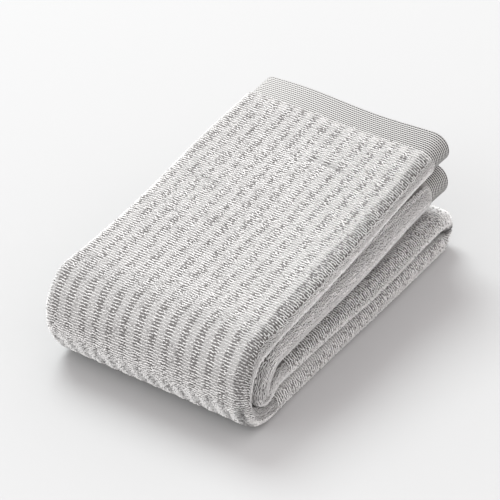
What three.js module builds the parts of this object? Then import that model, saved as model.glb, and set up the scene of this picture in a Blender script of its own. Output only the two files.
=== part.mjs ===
// A terry face towel, folded in thirds lengthwise and then in half twice, lying on a surface.
// Millimetres, +Z up. X runs across the folded towel and Y along it, with both hems at the +Y end.
// The origin is the middle of the folded towel's footprint, on the surface.
//
// The towel is one closed sheet. "Across" is the distance over the cloth from the folded towel's middle
// line. The middle third faces out, and both outer thirds are turned in behind it, so each level is three
// cloths thick. Four levels lie on each other: the top, which starts at one hem, goes round the near end
// into the bottom one, that turns up at the far end into the third, and the third turns back at the near
// end into the second, which ends at the other hem.
import * as THREE from "three";

// The cloth
const CLOTH_WIDTH = 340; // selvedge to selvedge
const GROUND = 0.9; // half the thickness of the flat woven cloth, as at the hems
const PILE_OUT = 1.05; // height of the pile on the face that shows
const PILE_IN = 0.75; // height of the pile on the other face
const HEM = 17; // flat woven band at each end
const HEM_STEP = 1.5; // run over which the pile rises beside a hem
const SELVEDGE = 4; // bare woven edge down both long sides
const LEFT_SELVEDGE = -166.5; // across the cloth, from the middle of the third that faces out
const RIGHT_SELVEDGE = LEFT_SELVEDGE + CLOTH_WIDTH;

// The ribs, which run the whole length of the towel
const RIB_PITCH = 8.2; // from one white rib to the next
const RIB_AT = 0.2; // where the middle rib lies, across the cloth
const RIB_DEPTH = 0.7; // how far the grey stripes lie below the ribs
const RIBS_FROM = -74; // across the cloth, the ribs stand up between these two lines,
const RIBS_TO = 88; // and are pressed flat in the parts that are turned in
const RIB_END = 6; // run over which they rise there
const PRESSED_BY = 0.6; // how far the pile is pressed down in the parts that are turned in

// The folded towel
const FOLDED_WIDTH = 117;
const FOLDED_LENGTH = 203;
const SPACING = 4.3; // from one cloth to the next where they lie close
const TURN_SQUEEZE = 0.7; // how much closer they are pulled where the cloth turns
const NEAR = -FOLDED_LENGTH / 2;
const FAR = FOLDED_LENGTH / 2;
const OUTER_TURN_Y = -72; // where the top level begins to turn down
const INNER_TURN_Y = -75; // where the second level begins to turn down
const INNER_DEPTH = 0.5 * SPACING; // how far the middle third goes out in the inner turn
const FAR_DEPTH = 2.5 * SPACING; // and in the far one, where it is outermost
const FAR_TURN_Y = FAR - GROUND - PILE_OUT - FAR_DEPTH; // where the bottom level begins to turn up
const TURN_FULLNESS_TOP = 0.62; // below 1 the turn is fuller than an ellipse, above 1 it is flatter
const TURN_FULLNESS_BOTTOM = 1.09;

// How the inner turn sinks between the outer layers: the most at height middle and not at all above top,
// coming in between y from and full, and gone again between full and none from the near end
const DROOP = { size: 9, middle: 25.4, top: 49, yFrom: -68, yFull: -82, endFull: 14, endNone: 3 };

// The levels: y along the towel, z of the middle third's cloth, and the spacing of its three cloths.
// The upper two stand more and more open towards the hems.
const TOP_LEVEL = [
  { y: -72, z: 49.2, spacing: 4.3 },
  { y: -58, z: 51.0, spacing: 4.3 },
  { y: -30, z: 54.8, spacing: 4.2 },
  { y: 5, z: 59.4, spacing: 4.3 },
  { y: 41, z: 64.9, spacing: 5.0 },
  { y: 72, z: 70.9, spacing: 6.6 },
  { y: 90, z: 74.2, spacing: 8.7 },
];
const SECOND_LEVEL = [
  { y: -76, z: 27.2, spacing: 4.3 },
  { y: -60, z: 27.8, spacing: 4.4 },
  { y: -30, z: 29.6, spacing: 6.0 },
  { y: 5, z: 31.6, spacing: 7.0 },
  { y: 41, z: 33.8, spacing: 7.9 },
  { y: 72, z: 35.2, spacing: 8.5 },
  { y: 92, z: 35.6, spacing: 8.8 },
];
const THIRD_LEVEL = [
  { y: -76, z: 22.9, spacing: 4.3 },
  { y: -50, z: 23.0, spacing: 4.3 },
  { y: 0, z: 23.4, spacing: 4.3 },
  { y: 100, z: 23.4, spacing: 4.3 },
];
const BOTTOM_LEVEL = [
  { y: -72, z: 1.15, spacing: 4.3 },
  { y: 100, z: 1.15, spacing: 4.3 },
];
const TOP_HEM_Y = 88;
const SECOND_HEM_Y = 90.5;
const HEM_SKEW = 0.035; // the top hem lies this much out of square, as a slope

// Unevenness of the whole pile of levels: a slow wave in height, as a share of the height,
// and a slow wander sideways that comes in over the lowest part
const WAVE = { share: 0.011, acrossLength: 88, acrossFrom: 0.6, alongLength: 121 };
const WANDER = { size: 0.8, length: 143, lean: 19, fullHeight: 12 };

// Where lines are taken for the mesh, besides two for each rib
const TOP_STATIONS = [50, 26, 2, -20, -40, -57, -65];
const BOTTOM_STATIONS = [-62, -20, 30];
const THIRD_STATIONS = [50, 10, -30, -57, -70];
const SECOND_STATIONS = [-71, -65, -57, -40, -10, 25, 50];
const OUTER_TURN_STATIONS = 12;
const INNER_TURN_STATIONS = 7;
const FAR_TURN_STATIONS = 7;
const LEFT_FOLD = [-74, -52]; // the stretches of cloth that go round the two lengthwise folds
const RIGHT_FOLD = [46, 82];
const LEFT_FLAP_TO = -97; // the turned-in cloth beyond them takes few lines
const RIGHT_FLAP_FROM = 100;
const MIDDLE_LINES = [-30, 0, 25];

const TURN = 2 * Math.PI;
const clamp01 = (t) => Math.min(1, Math.max(0, t));
const ease = (from, to, v) => {
  const t = clamp01((v - from) / (to - from));
  return t * t * (3 - 2 * t);
};

// Evenly spaced numbers, with the last one left out where another stretch begins
function spread(from, to, count, keepLast = true) {
  const steps = keepLast ? count - 1 : count;
  return Array.from({ length: count }, (_, i) => from + ((to - from) * i) / steps);
}

// One column of a table of levels at y: a cubic through its rows that never overshoots them
function readTable(rows, y, column) {
  const last = rows.length - 2;
  const slope = rows.slice(1).map((r, i) => (r[column] - rows[i][column]) / (r.y - rows[i].y));
  const bend = rows.map((_, i) => {
    if (i === 0) return slope[0];
    if (i > last) return slope[last];
    const product = slope[i - 1] * slope[i];
    return product > 0 ? (2 * product) / (slope[i - 1] + slope[i]) : 0;
  });
  let i = 0;
  while (i < last && y > rows[i + 1].y) i++;
  const run = rows[i + 1].y - rows[i].y;
  const t = clamp01((y - rows[i].y) / run);
  return (
    (1 + 2 * t) * (1 - t) ** 2 * rows[i][column] +
    t * (1 - t) ** 2 * run * bend[i] +
    t * t * (3 - 2 * t) * rows[i + 1][column] +
    t * t * (t - 1) * run * bend[i + 1]
  );
}

// Stations along a level: the middle third's cloth, its outward normal and what lies at that place.
// facing is 1 where the middle third faces up, -1 where it faces down.
function levelStations(rows, ys, facing, hemY = Infinity, skew = 0) {
  const step = 0.01;
  return ys.map((y) => {
    const slope = (readTable(rows, y + step, "z") - readTable(rows, y - step, "z")) / (2 * step);
    const length = Math.hypot(1, slope);
    return {
      y,
      z: readTable(rows, y, "z"),
      normalY: (-slope / length) * facing,
      normalZ: facing / length,
      spacing: readTable(rows, y, "spacing"),
      pile: ease(HEM - HEM_STEP / 2, HEM + HEM_STEP / 2, hemY - y),
      skew: skew * ease(0, hemY, y),
    };
  });
}

// Stations round a turn from one level to the next: half an ellipse, fuller or flatter by an exponent.
// end is -1 at the near end and 1 at the far one, facing is 1 where the middle third is outermost.
function turnStations({ y, low, high, depth, count, end, facing, down, top = 1, bottom = 1 }) {
  const first = down ? TURN / 4 : -TURN / 4;
  const radius = (high - low) / 2;
  const smallest = 1e-6;
  return spread(first, -first, count, false).map((angle) => {
    const power = angle > 0 ? top : bottom;
    const cos = Math.max(Math.cos(angle), smallest);
    const sin = Math.sin(angle);
    const alongY = depth * power * cos ** (power - 1) * Math.abs(sin);
    const alongZ = radius * cos;
    const length = Math.hypot(alongY, alongZ);
    return {
      y: y + end * depth * cos ** power,
      z: (high + low) / 2 + radius * sin,
      normalY: (end * facing * alongZ) / length,
      normalZ: (facing * Math.sign(sin) * alongY) / length,
      spacing: SPACING - TURN_SQUEEZE * cos * cos,
      pile: 1,
      skew: 0,
    };
  });
}

// All stations along the towel, from the hem on top to the hem of the second level
function stations() {
  const outerHigh = readTable(TOP_LEVEL, OUTER_TURN_Y, "z");
  const bottomZ = readTable(BOTTOM_LEVEL, OUTER_TURN_Y, "z");
  const thirdFar = readTable(THIRD_LEVEL, FAR_TURN_Y, "z");
  const thirdNear = readTable(THIRD_LEVEL, INNER_TURN_Y, "z");
  const secondNear = readTable(SECOND_LEVEL, INNER_TURN_Y, "z");
  const hem = (edge) => [edge, edge - HEM + HEM_STEP / 2, edge - HEM - HEM_STEP / 2];
  const secondYs = [INNER_TURN_Y, ...SECOND_STATIONS, ...hem(SECOND_HEM_Y).reverse()];
  return [
    ...levelStations(TOP_LEVEL, [...hem(TOP_HEM_Y), ...TOP_STATIONS], 1, TOP_HEM_Y, HEM_SKEW),
    ...turnStations({
      y: OUTER_TURN_Y,
      low: bottomZ,
      high: outerHigh,
      depth: OUTER_TURN_Y - NEAR - GROUND - PILE_OUT,
      count: OUTER_TURN_STATIONS,
      end: -1,
      facing: 1,
      down: true,
      top: TURN_FULLNESS_TOP,
      bottom: TURN_FULLNESS_BOTTOM,
    }),
    ...levelStations(BOTTOM_LEVEL, [OUTER_TURN_Y, ...BOTTOM_STATIONS], -1),
    ...turnStations({
      y: FAR_TURN_Y,
      low: bottomZ,
      high: thirdFar,
      depth: FAR_DEPTH,
      count: FAR_TURN_STATIONS,
      end: 1,
      facing: 1,
      down: false,
    }),
    ...levelStations(THIRD_LEVEL, [FAR_TURN_Y, ...THIRD_STATIONS], 1),
    ...turnStations({
      y: INNER_TURN_Y,
      low: thirdNear,
      high: secondNear,
      depth: INNER_DEPTH,
      count: INNER_TURN_STATIONS,
      end: -1,
      facing: -1,
      down: false,
    }),
    ...levelStations(SECOND_LEVEL, secondYs, -1, SECOND_HEM_Y),
  ];
}

// Where a line of the cloth lies in one level: x, the depth behind the middle third's cloth, and the angle by
// which the cloth has turned. The left third is turned in first, round half a spacing, and lies behind the
// middle one. The right third is turned in over it, round a whole spacing.
function foldAcross(across, spacing) {
  const edge = FOLDED_WIDTH / 2 - GROUND - PILE_OUT;
  const right = edge - spacing;
  const left = edge - spacing / 2;
  if (across > right) {
    const angle = Math.min((across - right) / spacing, Math.PI);
    const beyond = Math.max(across - right - Math.PI * spacing, 0);
    return { x: right + spacing * Math.sin(angle) - beyond, depth: spacing * (1 - Math.cos(angle)), angle };
  }
  if (across < -left) {
    const angle = Math.min((-across - left) / (spacing / 2), Math.PI);
    const beyond = Math.max(-across - left - (Math.PI * spacing) / 2, 0);
    const x = -left - (spacing / 2) * Math.sin(angle) + beyond;
    return { x, depth: (spacing / 2) * (1 - Math.cos(angle)), angle: -angle };
  }
  return { x: across, depth: 0, angle: 0 };
}

// Share of the pile that stands at a place across the cloth: none on the bare selvedges
function pileShare(across) {
  return ease(0, SELVEDGE, Math.min(across - LEFT_SELVEDGE, RIGHT_SELVEDGE - across));
}

// Height of the outer face over the cloth's middle surface
function faceHeight(across, station) {
  const standing = ease(RIBS_FROM - RIB_END, RIBS_FROM, across) * ease(RIBS_TO + RIB_END, RIBS_TO, across);
  const stripe = 0.5 - 0.5 * Math.cos((TURN * (across - RIB_AT)) / RIB_PITCH);
  const sunk = standing * RIB_DEPTH * stripe + (1 - standing) * PRESSED_BY;
  const pressed = Math.min(1, station.spacing / SPACING);
  return (GROUND + station.pile * pileShare(across) * (PILE_OUT - sunk)) * pressed;
}

// Height of the inner face under it
function backHeight(across, station) {
  const pressed = Math.min(1, station.spacing / SPACING);
  return -(GROUND + station.pile * pileShare(across) * PILE_IN) * pressed;
}

// The droop of the inner turn, the slow wave and the wander, which move every layer of the pile together,
// then the surface below, which presses the lowest cloth flat
function settle({ x, y, z }) {
  const inTurn = ease(DROOP.yFrom, DROOP.yFull, y) * ease(NEAR + DROOP.endNone, NEAR + DROOP.endFull, y);
  const inHeight = z < DROOP.middle ? z / DROOP.middle : ease(DROOP.top, DROOP.middle, z);
  const lower = z - DROOP.size * inTurn * inHeight;
  const acrossWave = Math.sin((TURN * x) / WAVE.acrossLength + WAVE.acrossFrom);
  const alongWave = Math.sin((TURN * y) / WAVE.alongLength);
  const wander = WANDER.size * Math.sin((TURN * y) / WANDER.length + lower / WANDER.lean);
  return [
    x + wander * ease(0, WANDER.fullHeight, lower),
    y,
    Math.max(0, lower * (1 + WAVE.share * acrossWave * alongWave)),
  ];
}

// A point of the cloth at height over its middle surface
function place(across, station, height) {
  const fold = foldAcross(across, station.spacing);
  const x = fold.x + height * Math.sin(fold.angle);
  const depth = fold.depth - height * Math.cos(fold.angle);
  return settle({
    x,
    y: station.y - depth * station.normalY - station.skew * x,
    z: station.z - depth * station.normalZ,
  });
}

// Lines across the cloth on the outer face: two for each rib, and four for each in the folds
function faceLines() {
  const half = RIB_PITCH / 2;
  const count = Math.floor((RIBS_TO - RIBS_FROM) / half);
  const first = RIB_AT + Math.ceil((RIBS_FROM - RIB_AT) / half) * half;
  const ribs = Array.from({ length: count }, (_, i) => first + i * half);
  const inFold = (a) => [LEFT_FOLD, RIGHT_FOLD].some(([from, to]) => a > from && a < to);
  const between = ribs.map((a) => a + half / 2).filter(inFold);
  const leftFlap = [LEFT_SELVEDGE, ...spread(LEFT_SELVEDGE + SELVEDGE, RIBS_FROM - RIB_END, 8)];
  const rightFlap = [...spread(RIBS_TO + RIB_END, RIGHT_SELVEDGE - SELVEDGE, 6), RIGHT_SELVEDGE];
  return [...ribs, ...between, ...leftFlap, ...rightFlap].sort((a, b) => a - b);
}

// Lines across the cloth on the inner face, close together in the folds only
function backLines() {
  const leftFlap = [LEFT_SELVEDGE, ...spread(LEFT_SELVEDGE + SELVEDGE, LEFT_FLAP_TO, 3)];
  const rightFlap = [...spread(RIGHT_FLAP_FROM, RIGHT_SELVEDGE - SELVEDGE, 4), RIGHT_SELVEDGE];
  const leftFold = spread(...LEFT_FOLD, 8);
  const rightFold = spread(...RIGHT_FOLD, 10);
  return [...leftFlap, ...leftFold, ...MIDDLE_LINES, ...rightFold, ...rightFlap];
}

// Triangles between the face's and the inner face's points along a hem's cut edge
function hemTriangles(face, back, onFace, onBack) {
  const triangles = [];
  let j = 0;
  let k = 0;
  while (j < face.length - 1 || k < back.length - 1) {
    const takeFace = k === back.length - 1 || (j < face.length - 1 && face[j + 1] <= back[k + 1]);
    if (takeFace) {
      triangles.push([onFace(j), onFace(j + 1), onBack(k)]);
      j++;
    } else {
      triangles.push([onFace(j), onBack(k + 1), onBack(k)]);
      k++;
    }
  }
  return triangles;
}

// The closed sheet: outer face, inner face, both selvedge edges and both hem edges, moved to the origin
function towelGeometry() {
  const along = stations();
  const face = faceLines();
  const back = backLines();
  const points = [
    ...along.flatMap((s) => face.flatMap((a) => place(a, s, faceHeight(a, s)))),
    ...along.flatMap((s) => back.flatMap((a) => place(a, s, backHeight(a, s)))),
  ];
  const onFace = (i, j) => i * face.length + j;
  const onBack = (i, j) => along.length * face.length + i * back.length + j;
  const lastFace = face.length - 1;
  const lastBack = back.length - 1;
  const lastRow = along.length - 1;
  const triangles = [];
  const quad = (a, b, c, d) => triangles.push([a, b, c], [a, c, d]);
  for (let i = 0; i < lastRow; i++) {
    for (let j = 0; j < lastFace; j++) {
      quad(onFace(i, j), onFace(i + 1, j), onFace(i + 1, j + 1), onFace(i, j + 1));
    }
    for (let j = 0; j < lastBack; j++) {
      quad(onBack(i, j), onBack(i, j + 1), onBack(i + 1, j + 1), onBack(i + 1, j));
    }
    quad(onFace(i + 1, 0), onFace(i, 0), onBack(i, 0), onBack(i + 1, 0));
    quad(onFace(i, lastFace), onFace(i + 1, lastFace), onBack(i + 1, lastBack), onBack(i, lastBack));
  }
  const hemEdge = (row) => hemTriangles(face, back, (j) => onFace(row, j), (k) => onBack(row, k));
  triangles.push(...hemEdge(0));
  triangles.push(...hemEdge(lastRow).map(([a, b, c]) => [a, c, b]));
  const geometry = new THREE.BufferGeometry();
  geometry.setAttribute("position", new THREE.Float32BufferAttribute(points, 3));
  geometry.setIndex(triangles.flat());
  geometry.computeBoundingBox();
  const middle = geometry.boundingBox.getCenter(new THREE.Vector3());
  geometry.translate(-middle.x, -middle.y, 0);
  geometry.computeVertexNormals();
  return geometry;
}

// White cotton terry with grey stripes, matt all over
const terry = new THREE.MeshStandardMaterial({ color: 0xd6d4d1, roughness: 1, metalness: 0 });
const towel = new THREE.Mesh(towelGeometry(), terry);
towel.name = "towel";

const group = new THREE.Group();
group.add(towel);
export default group;
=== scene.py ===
"""Looks of a striped terry face towel, its sides turned in and the strip folded in half twice."""

import bpy
import numpy as np
from bpy.props import FloatProperty, FloatVectorProperty, IntProperty, PointerProperty
from mathutils import Matrix, Vector


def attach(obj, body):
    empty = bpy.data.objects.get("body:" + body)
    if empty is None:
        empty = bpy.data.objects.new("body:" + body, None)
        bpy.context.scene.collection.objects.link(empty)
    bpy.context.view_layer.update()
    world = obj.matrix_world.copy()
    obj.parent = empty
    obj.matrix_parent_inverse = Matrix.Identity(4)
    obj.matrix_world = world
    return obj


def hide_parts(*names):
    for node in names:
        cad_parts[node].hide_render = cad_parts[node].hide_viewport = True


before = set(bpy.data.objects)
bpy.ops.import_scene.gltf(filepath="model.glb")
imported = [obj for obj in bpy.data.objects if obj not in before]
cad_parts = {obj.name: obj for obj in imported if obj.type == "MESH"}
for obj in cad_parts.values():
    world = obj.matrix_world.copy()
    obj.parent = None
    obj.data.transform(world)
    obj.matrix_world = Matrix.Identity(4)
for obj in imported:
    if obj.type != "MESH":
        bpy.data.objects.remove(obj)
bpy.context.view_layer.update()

bl_info = {
    "name": "Folded Face Towel",
    "version": (1, 0, 0),
    "blender": (4, 5, 0),
    "location": "View3D > Sidebar > Towel",
    "description": "A folded striped terry face towel with its pile, hems and studio stage",
    "category": "Add Mesh",
}

MM = 0.001
TURN = 2 * np.pi

# Lengths are in millimetres and angles in radians from here on, unless a comment says otherwise

# The fold's levels: y along the towel, z of the middle third's cloth, spacing of its cloths
TOP_LEVEL = (
    (-72, 49.2, 4.3), (-58, 51.0, 4.3), (-30, 54.8, 4.2), (5, 59.4, 4.3),
    (41, 64.9, 5.0), (72, 70.9, 6.6), (90, 74.2, 8.7),
)
SECOND_LEVEL = (
    (-76, 27.2, 4.3), (-60, 27.8, 4.4), (-30, 29.6, 6.0), (5, 31.6, 7.0),
    (41, 33.8, 7.9), (72, 35.2, 8.5), (92, 35.6, 8.8),
)
THIRD_LEVEL = ((-76, 22.9, 4.3), (-50, 23.0, 4.3), (0, 23.4, 4.3), (100, 23.4, 4.3))
BOTTOM_LEVEL = ((-72, 1.15, 4.3), (100, 1.15, 4.3))
LEVEL_STEP = 0.4  # between the points of a level's path
SLOPE_STEP = 0.01

# The stretches of the cloth's path, from the hem on top to the hem of the second level
TOP, NEAR_END, BOTTOM, FAR_END, THIRD, INNER_END, SECOND = range(7)

# The turns: where they begin, how deep they are in spacings, how full the near end is above and below its middle, as
# powers of a cosine, and how much closer the cloths lie
OUTER_TURN_Y = -72
INNER_TURN_Y = -75
FAR_TURN_DEPTH = 2.5
INNER_TURN_DEPTH = 0.5
FULLNESS_TOP = 0.62
FULLNESS_BOTTOM = 1.09
TURN_SQUEEZE = 0.7
TURN_POINTS = 90
LEAST_COSINE = 1e-6

# Hems and selvedges
TOP_HEM_Y = 88
SECOND_HEM_Y = 90.5
PAST_SECOND_HEM = 0.2  # the path is laid out this much further, and its last point is dropped
HEM_SKEW = 0.035
HEM_STEP = 1.5
SELVEDGE = 4
LEFT_SELVEDGE = -166.5

# The hems' ribbed weave: pitch of its rows and of the floats in a row, the share of a float that each row steps on,
# how strong the floats are, how open the gaps are in the middle and how much more each millimetre right, and relief
HEM_ROW = 1.45
HEM_FLOAT = 1.3
HEM_STAGGER = 0.38
HEM_DASH = 0.5
HEM_OPEN = 1.41
HEM_OPENS = 0.008
HEM_RELIEF = 0.35

# How the inner turn sinks: the most at middle, not at all above top, between the lines from and full
DROOP = {"size": 9, "middle": 25.4, "top": 49, "from": -68, "full": -82, "end_full": 14, "end_none": 3}
WAVE = {"share": 0.011, "across": 88, "start": 0.6, "along": 121}
WANDER = {"size": 0.8, "length": 143, "lean": 19, "full_height": 12}
MIDDLE = (0.09, 0.15)  # brings the middle of the footprint to the origin

# Short creases pressed into the top: x and y of the middle, half lengths in x and y, depth, and rise of its middle
CREASES = ((14, 38, 11, 1.5, 1.1, 1.6), (-34, 2, 9, 1.6, 0.5, 0.3))
ON_TOP = {"from": 45, "full": 55, "slope": 0.1}  # the heights that the creases are kept to, and their rise along y

# The ribs sway together. Each one also wanders and swells on two waves: size, length, and turn from rib to rib
SWAY = {"size": 1.35, "length": 150, "start": 87}
RIB_WANDER = ((0.25, 41, 1.7), (0.2, 14.3, 2.9))
RIB_SWELL = ((1, 6.7, 4.1), (1, 15.9, 2.3))
SWELL_SHARE = 0.08
WHITE_AT_HEM = (2, 4.5)  # from a hem: all white up to the first distance, and striped from the second

# The sheet's points: the runs and steps across its two folds, the step along each stretch, the places beside a hem's
# edge, and the length of the rounded cut ends
FOLD_LINES = ((-76, -48, 1.0), (42, 82, 1.25))
STATION_STEPS = (3.0, 1.6, 6.0, 1.5, 4.5, 0.7, 4.5)
HEM_STATIONS = (-1.2, -0.6, 0, 0.6, 1.2)
CUT_END = 0.8
CUT_END_SHARE = 0.35  # how thick the cloth is at its very end
UNDER_PILE = 0.2  # how far the outer face stands up where there is pile
INNER_PILE_SHARE = 0.8  # how much of the inner pile the inner face covers
BARE_AT_HEM = 0.6  # how far the pile's own colours stand for the ground beside a hem

# Cosine across a rib at which a grey stripe begins in the ground, and where it is full
STRIPE_EDGE = (0.25, -0.35)

# The yarn's plies, too fine to show from the photograph's distance: their pitch and relief
PLY_PITCH = 1 / 3
PLY_RELIEF = 0.1

# The parts of the pile: rows on the flat cloth, rows round its right and left folds, and the band of fine columns
FLAT, RIGHT, LEFT, BAND = range(4)
# Each part's first and last length over the tips, for the flat rows from the middle and otherwise from where the
# cloth begins to turn, and how far its loops stand off their places, in steps
PART_REACH = ((-67, 67), (-2.5, 26), (2.5, -16), (4, 26))
PART_JITTER = (0.1, 0.1, 0.1, 0.05)
BEFORE_FOLD = 2.5  # how far a fold's rows reach on to the flat cloth where they stand alone
PAST_RIGHT_FOLD = 5
PAST_LEFT_FOLD = 2
OPEN_FAR_Y = 66  # past it the third level's outer face shows all across
BAND_NEAR_Y = -62  # before it the third level has the band
BAND_GAP = 0.4
WRAP = (50, 40)  # degrees round a fold that the flat rows go on, and how many more low on the near end
WRAP_RUN = (8, 40)  # from the top of the near end's turn, where that begins and is full
BAND_GROUND = (-0.4, -2.5)  # where the band's ground begins past the flat rows, and on the third level
ROWS_FROM = 0.5  # from a hem's edge to the first row
ROWS_TO = 0.4
ROWS_STEP = 0.1  # to look the rows' places up in
LOWEST_FOOT = 0.25  # loops whose tips are lower are under the towel
LOWEST_POINT = 0.02

# A loop's shape: height and depth of its feet, power and slope of its arch, how much less low and how much thicker it
# is in a stripe, and its height and its share of the gap in a column
FOOT_HEIGHT = 0.1
FOOT_DEPTH = 0.25
ARCH_POWER = 0.6
ARCH_SLOPE = 1.1
STRIPE_LIFT = 0.45
STRIPE_THICKER = 0.28
COLUMN_HEIGHT = 0.85
COLUMN_REACH = 0.75
STAND_STEP = 0.05
# How loops vary: spread of height, length and thickness, their least and most, the turn on a rib and how much less
# it is in a stripe, and the mean and spread of the lean
VARY_HEIGHT = 0.08
VARY_LENGTH = 0.1
VARY_THICKNESS = 0.08
VARY_WITHIN = (0.7, 1.3)
VARY_TURN = (0.22, 0.12)
VARY_LEAN = (0.05, 0.12)

# Where a loop counts as a stripe's: the rib's height where that is full and where it ends, and the spread of both
STRIPE_LOOPS = (0.2, 0.75)
STRIPE_SPREAD = 0.13
GREY_SHARE = (0.02, 0.14)  # share of grey loops on a rib, and how much more in a stripe
# How light a loop's yarn is, as a share of its colour: mean and spread on a rib, with how much more each is in a
# stripe, the spread from column to column round the folds, and the least and most
TINT_MEAN = (0.9, 0.1)
TINT_SPREAD = (0.035, 0.055)
TINT_COLUMN = 0.05
TINT_WITHIN = (0.6, 1.05)
# How much darker the yarn is painted in places, again as a share: painted shade, all but the band's column spread,
# which is random
DARKER = {
    "band": 0.2, "band_below": 0.06, "band_turned": 0.16, "band_column": 0.04, "last_stripe": 0.25, "crease": 0.55,
    "near_end_stripe": 0.38, "near_end_least": 0.3, "near_end_top": 0.09, "third_top_shade": 0.06,
}
# The band's painted shade lessens over BAND_TURNED, and the last stripe before the band is painted darker across
# LAST_STRIPE, as painted shade
BAND_TURNED = (1.5, 2.4)  # angle round the right fold over which the band gets lighter
LAST_STRIPE = (44, 50)  # across the cloth
CREASE_LINE = 0.9  # half width of the dark line in a crease
# Painted shade on the near end: the stripes low down and the upper turn are painted darker
FLANK = (0.25, 0.8)  # the rib's height over which the near end's stripes end
NEAR_END_UNDER = (15, 27)  # heights over which those stripes end
NEAR_END_TOP = (24, 42)
# heights over which the third level's top is painted darker, as painted shade
THIRD_TOP = (22, 24)
# The dark line where the two lowest levels meet, painted shade: height, half width, the run over which it gets
# stronger and wider, its mean, its blotches, how much stronger it gets, and the blotches' two waves
MEET_SHADE = {"z": 12.3, "half": 1.3, "far": (58, 80), "mean": 0.55, "blotch": 0.2, "more": 0.25, "waves": (5.3, 8.9)}

# The stage, in metres, with the camera's sensor in millimetres and the colours of the light linear
BOARD_HALF = 4
LIGHT_SIZE = 2.27
LIGHT_DISTANCE = 4
LIGHT_COLOUR = (0.945, 1, 1)
SKY_COLOUR = (1, 0.965, 0.968, 1)
SENSOR = 36
CAMERA_RANGE = (0.05, 20)


def linear(hex_colour):
    """An sRGB hex colour as linear red, green and blue."""
    value = np.array([int(hex_colour[i:i + 2], 16) for i in (0, 2, 4)]) / 255
    return tuple(np.where(value <= 0.04045, value / 12.92, ((value + 0.055) / 1.055) ** 2.4))


def ease(start, end, value):
    """0 at start and 1 at end, with a smooth cubic between them."""
    t = np.clip((value - start) / (end - start), 0, 1)
    return t * t * (3 - 2 * t)


def read_table(rows, y, column):
    """One column of a table at y: a cubic through its rows, whose slopes are harmonic means of the slopes beside
    them, so that it never overshoots."""
    table = np.array(rows, float)
    ys, values = table[:, 0], table[:, column]
    slope = np.diff(values) / np.diff(ys)
    product = slope[:-1] * slope[1:]
    total = np.where(product > 0, slope[:-1] + slope[1:], 1)
    bend = np.concatenate([slope[:1], np.where(product > 0, 2 * product / total, 0), slope[-1:]])
    i = np.clip(np.searchsorted(ys, y, side="left") - 1, 0, len(ys) - 2)
    run = ys[i + 1] - ys[i]
    t = np.clip((y - ys[i]) / run, 0, 1)
    near_end = (1 + 2 * t) * (1 - t) ** 2 * values[i] + t * (1 - t) ** 2 * run * bend[i]
    return near_end + t * t * (3 - 2 * t) * values[i + 1] + t * t * (t - 1) * run * bend[i + 1]


def rib_waves(waves, along, index):
    """The sum of sines along the cloth, each of its own size and length and turned on from rib to rib."""
    return sum(size * np.sin(TURN * along / length + turned * index) for size, length, turned in waves)


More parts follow.
